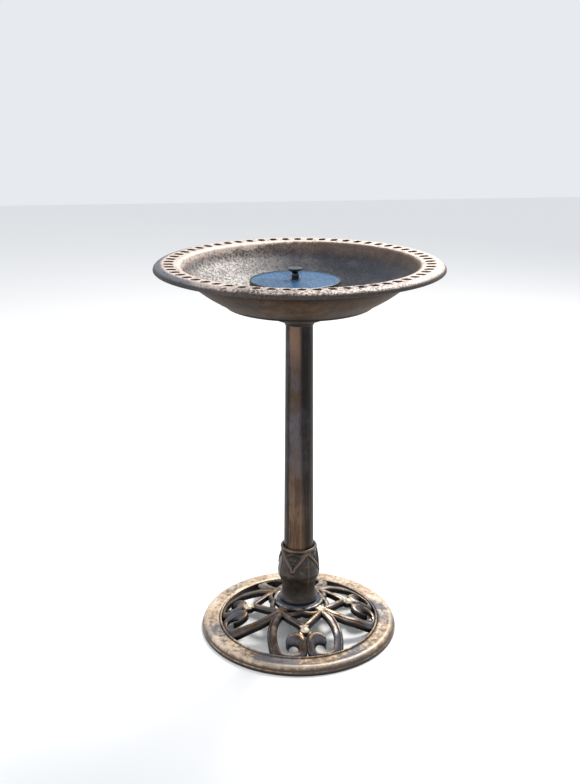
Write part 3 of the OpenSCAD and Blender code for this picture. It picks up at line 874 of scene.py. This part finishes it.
def lily_scroll(shape, side, turn, depth):
    """One curled leaf of the lily, folded down towards its hollow, and its stem and foot."""
    co, si = math.cos(turn), math.sin(turn)
    # Drop of the leaf's face from its outer edge to its hollow
    fold = [(0.0, 6.0), (0.03, 3.6), (0.09, 1.6), (0.18, 0.3), (0.3, -0.6), (0.44, -0.5), (0.6, 0.6),
            (0.76, 2.6), (0.9, 5.0), (1.0, 7.5)]
    steps = 40
    rows = []
    for k in range(steps + 1):
        t = k / steps
        outer = math.radians(51 + 235 * t)
        inner = math.radians(101 + 172 * t)
        ox, oy = 117 + 18.5 * math.cos(outer), 19.5 + 18.5 * math.sin(outer)
        ix, iy = 130 + 9.5 * math.cos(inner), 25 + 9.5 * math.sin(inner)
        row = []
        for q, drop in [*fold, (1.0, depth), (0.0, depth)]:
            x, y = ox + (ix - ox) * q, (oy + (iy - oy) * q) * side
            row.append((x * co - y * si, x * si + y * co, dome(math.hypot(x, y)) + 0.6 - drop))
        rows.append(row if side > 0 else row[::-1])
    shape.grid(rows, wrap_columns=True, finish=SCROLL)
    shape.cap(rows[0], SCROLL)
    shape.cap(rows[-1][::-1], SCROLL)
    path = smooth_line([(143, 40, 9), (145.5, 27, 11), (144, 15, 13), (137, 8.2, 15.5), (126, 7.4, 15.6),
                        (115, 7.8, 15.4), (106, 9.5, 12), (101, 12, 7)], 5)
    shape.sweep([(x, y * side) for x, y, _ in path], [w for _, _, w in path], ROUND,
                lambda r: dome(r) + 0.4, depth, turn, SCROLL)


class BATH_OT_base(bpy.types.Operator):
    """Shape and paint the base casting: its ring, scrollwork and hub"""

    bl_idname = "bath.base"
    bl_label = "Make Base"

    def execute(self, context):
        sizes = context.scene.bath_base
        ring_r, hub_z = reach_of("base"), top_of("base")
        depth = sizes.bar_depth
        shape = Shape()
        ring = [(149, 0), (149, 16.2)] + arc(150.7, 16.3, 1.7, 170, 10, 8)
        ring += [(152.8, 15.5), (153.5, 15.0), (154.3, 15.3), (155.1, 16.0), (156.2, 16.4)]
        ring += smooth_line([(158, 16.5), (164, 16.3), (170, 16.5), (175, 16.8), (179, 16.1), (182.2, 13.8),
                             (184.3, 10.6), (185, 7.6)], 4)
        ring += [(185.5, 6.9), (186.2, 6.2), (ring_r, 5.2), (ring_r, 1.0), (ring_r - 0.8, 0), (183.2, 0),
                 (182.8, 4), (177, 12.6), (152.6, 12.6), (152.5, 0)]
        shape.lathe(ring, 288, finish=RING)
        for k in range(4):
            turn = math.radians(90 * k)
            for side in (-1, 1):
                line = petal_line(side)
                section = CREST if side > 0 else [(-s, d) for s, d in reversed(CREST)]
                shape.sweep(line, [sizes.petal_width] * len(line), section, dome, depth, turn, SCROLL)
                lily_scroll(shape, side, turn, depth)
            arch = smooth_line([(48, 34), (58, 28), (72, 15.5), (84, 4.6), (87.5, 0), (84, -4.6), (72, -15.5),
                                (58, -28), (48, -34)], 5)
            shape.sweep(arch, [sizes.arch_width] * len(arch), ROUND, lambda r: dome(r) + 0.9, depth,
                        turn, SCROLL)
            lobe = arc(26, 0, 34, -84, 84, 40)
            shape.sweep(lobe, [sizes.lobe_width] * len(lobe), ROUND, lambda r: dome(r) + 0.3, depth,
                        turn + math.pi / 4, SCROLL)
            spoke = [(44 + 4 * i, 0) for i in range(6)]
            shape.sweep(spoke, [12, 11.6, 11, 11, 12, 15], ROUND, lambda r: dome(r) - 0.3, depth,
                        turn + math.pi / 4, SCROLL)
            bud, rise = 10.2, dome(KNOB_PLACE) - 5
            knob = [(bud, rise - 5), (bud, rise)]
            knob += [(bud * math.cos(a), rise + 9.0 * math.sin(a)) for a in
                     [math.radians(10 * i) for i in range(1, 9)]]
            knob += [(0.02, rise + 9.0)]
            centre = (KNOB_PLACE * math.cos(turn), KNOB_PLACE * math.sin(turn))
            shape.lathe(knob, 40, centre, closed=False, finish=SCROLL)
        rim = sizes.hub_radius
        hub = lifted(hub_z, [(4.4, -10), (rim - 2.5, -10), (rim - 0.6, -9.4), (rim, -8)])
        hub += smooth_line(lifted(hub_z, [
            (rim, -4.2), (rim - 0.5, -2.2), (rim - 1.8, -0.9), (rim - 3.6, -0.3), (rim - 5.4, -0.9),
            (rim - 6.6, -1.7), (rim - 7.8, -1.2), (rim - 9, -0.2), (rim - 10.4, 0),
        ]), 3)
        hub += lifted(hub_z, [(26, 0), (26, -3), (4.4, -3)])
        shape.lathe(hub, 144, finish=HUB)
        shape.piece("base_casting", "pedestal", "base", [ring_bronze(), scroll_bronze(), hub_bronze()], 50)
        return {"FINISHED"}


# ------------------------------------------------------------------ pedestal


def leaf_relief(sizes):
    """Height of the leaves' carving over the collar, as a function of angle and height."""
    apex, brim, spread = 134.0, 166, math.radians(35) / 28

    def bump(distance, width):
        return math.exp(-(distance / width) ** 2)

    def relief(angle, r, z):
        if r < 31 or not 66 < z < brim:
            return 0.0
        part = 2 * math.pi / sizes.leaves
        off = (angle - sizes.gap_turn + part / 2) % part - part / 2
        across = abs(off) * r
        half = max(z - apex, 0.0) * spread * r
        edge = (across - half) * 0.87 if z > apex else math.hypot(across, (apex - z) * 0.6)
        fade = min(max((brim - z) / 5, 0.0), 1.0)
        out = sizes.rib * bump(edge - 3.2, 3.0)
        # Between two leaves: a sunk gap, three small lobes and an upper border
        if across < half and z > apex:
            out -= sizes.hollow * min(max(-edge / 2.0, 0.0), 1.0)
            for a, h in ((-4.4, 149.0), (4.4, 149.0), (0.0, 142.0)):
                out += 2.8 * bump(math.hypot(off * r - a, z - h), 3.2)
            out += 2.0 * bump(z - 158 - 2.4 * math.cos(off * r / 5.0), 2.2)
        # On a leaf: a groove inside its edge, and a spine
        elif z > 84:
            out -= 1.1 * bump(edge - 7.0, 1.3) * min((z - 84) / 12, 1.0)
            spine = abs(part / 2 - abs(off)) * r
            out += 0.9 * bump(spine, 1.8) * min(max((z - 92) / 10, 0.0), 1.0)
        if z <= apex:
            out += -0.9 * bump(across, 1.5) * min(max((z - 80) / 8, 0.0), 1.0)
        return out * fade

    return relief


class BATH_OT_collar(bpy.types.Operator):
    """Shape and paint the leaf collar at the foot of the pole"""

    bl_idname = "bath.collar"
    bl_label = "Make Leaf Collar"

    def execute(self, context):
        sizes = context.scene.bath_collar
        low, high = foot_of("leaf_collar"), top_of("leaf_collar")
        seat = low + 2.8
        relief = leaf_relief(sizes)
        outside = smooth_line(lifted(seat, [
            (31.6, 0), (34.4, 1.2), (36, 4), (35.2, 7), (33.6, 10), (32.3, 16), (31.7, 24), (32.3, 33),
            (34.6, 43), (38.2, 52), (39.9, 60), (39.2, 68), (37.2, 78), (35.6, 88), (34.6, 98), (34.1, 106),
            (34.6, 110),
        ]), 9)
        lip = arc(31.6, high - 3, 3, 10, 170, 8)
        bore = [(28.7, high - 3.4), *lifted(seat, [(28.7, 75), (24, 75), (24, 8), (4.4, 8)]),
                (4.4, low), (25.7, low), (25.7, seat)]
        shape = Shape()
        shape.lathe(outside + lip + bore, 360, relief=relief)
        collar = shape.piece("leaf_collar_casting", "pedestal", "leaf_collar", [collar_bronze()], 60)
        proud = collar.data.attributes.new("proud", "FLOAT", "POINT")
        for corner, value in zip(collar.data.vertices, proud.data):
            x, y, z = corner.co / MM
            r = math.hypot(x, y)
            raised = relief(math.atan2(y, x), r, z) / sizes.rib if r > 31 else 0.0
            rims = 0.8 if z > high - 3 else 0.0
            value.value = max(raised, rims) if raised >= 0 else raised
        return {"FINISHED"}


class BATH_OT_pole(bpy.types.Operator):
    """Shape and paint the pole and its head"""

    bl_idname = "bath.pole"
    bl_label = "Make Pole"

    def execute(self, context):
        low, high = foot_of("pole"), top_of("pole")
        wide, wall = reach_of("pole"), 2.5
        narrow = 24.4
        outside = [(wide + (narrow - wide) * k / 24, low + (high - low) * k / 24) for k in range(25)]
        shape = Shape()
        shape.lathe(outside + [(r - wall, z) for r, z in reversed(outside)], 128)
        shape.piece("pole_tube", "pedestal", "pole", [pole_bronze()])

        top, rim = top_of("pole_head"), reach_of("pole_head")
        web = foot_of("pole_head")
        flange = smooth_line(lifted(top, [
            (26.0, -18), (26.6, -17.2), (26.8, -13), (27.6, -10.6), (30, -9.4), (36, -9), (41.4, -8.8),
            (44, -7.4), (rim, -4.8), (rim, -2.4), (44.4, -0.6), (43, 0),
        ]), 4)
        socket = [*lifted(top, [(17.4, 0), (16.3, -1), (16.3, -26), (4.4, -26)]), (4.4, web), (21.9, web),
                  *lifted(top, [(21.75, -9), (24.6, -9), (24.7, -18)])]
        shape = Shape()
        shape.lathe(flange + socket, 128)
        shape.piece("pole_head_casting", "pedestal", "pole_head", [head_bronze()])
        return {"FINISHED"}


class BATH_OT_fixings(bpy.types.Operator):
    """Finish the tie rod, its nuts and washer, and the gasket"""

    bl_idname = "bath.fixings"
    bl_label = "Finish Fixings"

    def execute(self, context):
        nut = plated("zinc_nut")
        repaint("tie_rod", plated("zinc_thread", 0.00125))
        for node in ("tie_rod_nut", "base_nut", "base_washer"):
            repaint(node, nut)
        repaint("basin_gasket", moulded("gasket_rubber", tint(30, 30, 30), 0.7, 500))
        return {"FINISHED"}


# ------------------------------------------------------------------ fountain


class BATH_OT_float(bpy.types.Operator):
    """Shape and paint the float, the solar panel and its cover"""

    bl_idname = "bath.float"
    bl_label = "Make Float"

    def execute(self, context):
        centre = middle_of("float_tray")
        low, high, rim = foot_of("float_tray"), top_of("float_tray"), reach_of("float_tray")
        satin = moulded("float_black", tint(26, 27, 30), 0.32)
        shape = Shape()
        tray = [(5.2, low), (rim - 3, low)] + arc(rim - 1.6, low + 1.6, 1.6, -80, -10, 4)
        tray += [(rim, low + 3), (rim - 0.5, low + 3.5), (rim - 0.5, low + 5.2), (rim, low + 5.7)]
        tray += lifted(high, [(rim, -1), (rim - 0.4, -0.3), (rim - 1.1, 0), (rim - 2.1, 0), (rim - 2.5, -0.5),
                              (rim - 2.5, -4), (rim - 5.5, -4)])
        tray += [(rim - 5.5, low + 2), (5.2, low + 2)]
        shape.lathe(tray, 160, centre)
        shape.piece("float_tray_moulding", "fountain", "float_tray", [satin])

        low, high = foot_of("panel_cover"), top_of("panel_cover")
        edge = reach_of("panel_cover")
        cover = [(9.5, low), (edge, low)]
        cover += lifted(high, [(edge, -0.9), (edge - 0.3, -0.35), (edge - 1.2, -0.04), (edge - 4, 0), (40, 0),
                               (9.5, 0)])
        shape = Shape()
        shape.lathe(cover, 160, centre)
        shape.piece("panel_cover_resin", "fountain", "panel_cover", [panel_resin()])
        repaint("solar_cells", solar_cell())
        repaint("panel_board", circuit_green())
        repaint("panel_collar", satin)
        repaint("buoyancy_foam", moulded("white_foam", tint(236, 236, 230), 0.85, 260))
        return {"FINISHED"}


class BATH_OT_pump(bpy.types.Operator):
    """Finish the pump's housing, motor and impeller"""

    bl_idname = "bath.pump"
    bl_label = "Finish Pump"

    def execute(self, context):
        satin = moulded("pump_satin", tint(24, 25, 28), 0.36)
        matte = moulded("pump_matte", tint(38, 38, 40), 0.6, 400)
        finishes = {
            "pump_housing": satin,
            "intake_strainer": satin,
            "volute": matte,
            "volute_cover": matte,
            "shaft_bushes": moulded("bush_acetal", tint(52, 52, 54), 0.5),
            "cover_o_ring": moulded("ring_rubber", tint(28, 28, 28), 0.72, 500),
            "stator": wound_copper(),
            "driver_board": circuit_green(),
            "motor_leads": moulded("lead_red", tint(176, 32, 28), 0.45),
            "impeller_shaft": moulded("shaft_ceramic", tint(238, 234, 226), 0.18, 900),
            "housing_screws": plated("stainless_screw"),
            "impeller": moulded("impeller_white", tint(230, 230, 224), 0.4),
            "rotor_magnet": moulded("ferrite", tint(58, 58, 62), 0.5, 300),
        }
        for node, material in finishes.items():
            repaint(node, material)
        return {"FINISHED"}


class BATH_OT_nozzle(bpy.types.Operator):
    """Shape and paint the push-on spray nozzle"""

    bl_idname = "bath.nozzle"
    bl_label = "Make Nozzle"

    def execute(self, context):
        centre = middle_of("nozzle_body")
        low, high = foot_of("nozzle_body"), top_of("nozzle_rose")
        black = moulded("nozzle_black", tint(16, 16, 18), 0.22)
        ribs = 16

        def grip(angle, r, z):
            on = r > 6.2 and low + 1 < z < low + 6.2
            return -0.35 * (0.5 + 0.5 * math.cos(angle * ribs)) if on else 0.0

        outside = [(5.06, low), (6.0, low), (6.4, low + 0.5)] + [(6.4, low + 1 + k) for k in range(6)]
        outside += smooth_line(lifted(low, [(6.3, 6.9), (5.8, 7.8)]) + lifted(high, [
            (5.4, -10.6), (5.7, -9), (8.4, -6.9), (11.2, -4.6), (12.5, -3.5), (13, -2.7),
        ]), 5)
        inside = lifted(high, [(13, -1.8), (12.7, -1.5), (11.4, -1.5), (11.4, -2.9), (4, -8.4), (3.4, -9.8)])
        inside += lifted(low, [(3.4, 7.4), (5.06, 6.4)])
        shape = Shape()
        shape.lathe(outside + inside, 128, centre, relief=grip)
        shape.piece("nozzle_moulding", "nozzle", "nozzle_body", [black])
        repaint("nozzle_rose", black)
        return {"FINISHED"}


# ------------------------------------------------------------------ stage


class BATH_OT_stage(bpy.types.Operator):
    """Set the floor, the studio lights and the camera"""

    bl_idname = "bath.stage"
    bl_label = "Set Stage"

    def execute(self, context):
        scene = context.scene
        bpy.ops.mesh.primitive_plane_add(size=12.0, location=(0, 0, 0))
        floor = context.object
        floor.name = "studio_floor"
        p = Paint("studio_floor")
        floor.data.materials.append(p.finish(tint(243, 243, 242), 0.6 + p.noise(20) * 0.1))

        world = bpy.data.worlds.new("studio")
        world.use_nodes = True
        sky = world.node_tree.nodes["Background"]
        sky.inputs["Color"].default_value = (*tint(242, 245, 250), 1.0)
        sky.inputs["Strength"].default_value = 0.9
        scene.world = world
        scene.view_settings.view_transform = "Standard"

        aim = 0.35

        def lamp(name, bearing, lift, distance, width, power, shade):
            """A square lamp aimed at the middle of the object from a bearing and a lift, in degrees."""
            a, e = math.radians(bearing), math.radians(lift)
            place = Vector((math.cos(a) * math.cos(e), math.sin(a) * math.cos(e), math.sin(e))) * distance
            light = bpy.data.lights.new(name, "AREA")
            light.size, light.energy, light.color = width, power, shade
            thing = bpy.data.objects.new(name, light)
            thing.location = place + Vector((0, 0, aim))
            thing.rotation_euler = (-place).to_track_quat("-Z", "Y").to_euler()
            scene.collection.objects.link(thing)

        lamp("key_light", 56, 50, 2.6, 0.7, 70, (1.0, 0.965, 0.92))
        lamp("left_light", 200, 30, 2.4, 1.2, 14, (0.93, 0.96, 1.0))
        lamp("front_light", 285, 40, 3.0, 1.8, 8, (1.0, 0.99, 0.97))

        # The camera stands in front, a little to the left, and looks down at the object
        pitch, heading = math.radians(18.04), math.radians(83.53)
        stand, bearing, eye = 1.795, math.radians(263), 1.057
        camera = bpy.data.objects.new("camera", bpy.data.cameras.new("camera"))
        camera.location = (stand * math.cos(bearing), stand * math.sin(bearing), eye)
        camera.rotation_euler = (math.pi / 2 - pitch, 0.0, heading - math.pi / 2)
        camera.data.sensor_width = 36.0
        camera.data.lens = 47.9
        scene.collection.objects.link(camera)
        scene.camera = camera
        return {"FINISHED"}


# ------------------------------------------------------------------ panel and registration

STEPS = (BATH_OT_stage, BATH_OT_basin, BATH_OT_base, BATH_OT_collar, BATH_OT_pole, BATH_OT_fixings,
         BATH_OT_float, BATH_OT_pump, BATH_OT_nozzle)
GROUPS = {
    "bath_basin": BasinSizes,
    "bath_base": BaseSizes,
    "bath_collar": CollarSizes,
    "bath_finishes": Finishes,
}


class BATH_PT_panel(bpy.types.Panel):
    """Lists the bird bath's pieces"""

    bl_label = "Bird Bath"
    bl_idname = "BATH_PT_panel"
    bl_space_type = "VIEW_3D"
    bl_region_type = "UI"
    bl_category = "Bird Bath"

    def draw(self, context):
        for step in STEPS:
            self.layout.operator(step.bl_idname)
        for name, group in GROUPS.items():
            box = self.layout.box()
            for key in group.__annotations__:
                box.prop(getattr(context.scene, name), key)


def register():
    for group in GROUPS.values():
        bpy.utils.register_class(group)
    for name, group in GROUPS.items():
        setattr(bpy.types.Scene, name, PointerProperty(type=group))
    for item in (*STEPS, BATH_PT_panel):
        bpy.utils.register_class(item)


def unregister():
    for item in (BATH_PT_panel, *reversed(STEPS)):
        bpy.utils.unregister_class(item)
    for name, group in GROUPS.items():
        delattr(bpy.types.Scene, name)
        bpy.utils.unregister_class(group)


def main():
    """Makes every piece."""
    register()
    bpy.ops.bath.stage()
    bpy.ops.bath.basin()
    bpy.ops.bath.base()
    bpy.ops.bath.collar()
    bpy.ops.bath.pole()
    bpy.ops.bath.fixings()
    bpy.ops.bath.float()
    bpy.ops.bath.pump()
    bpy.ops.bath.nozzle()


if __name__ == "__main__":
    main()
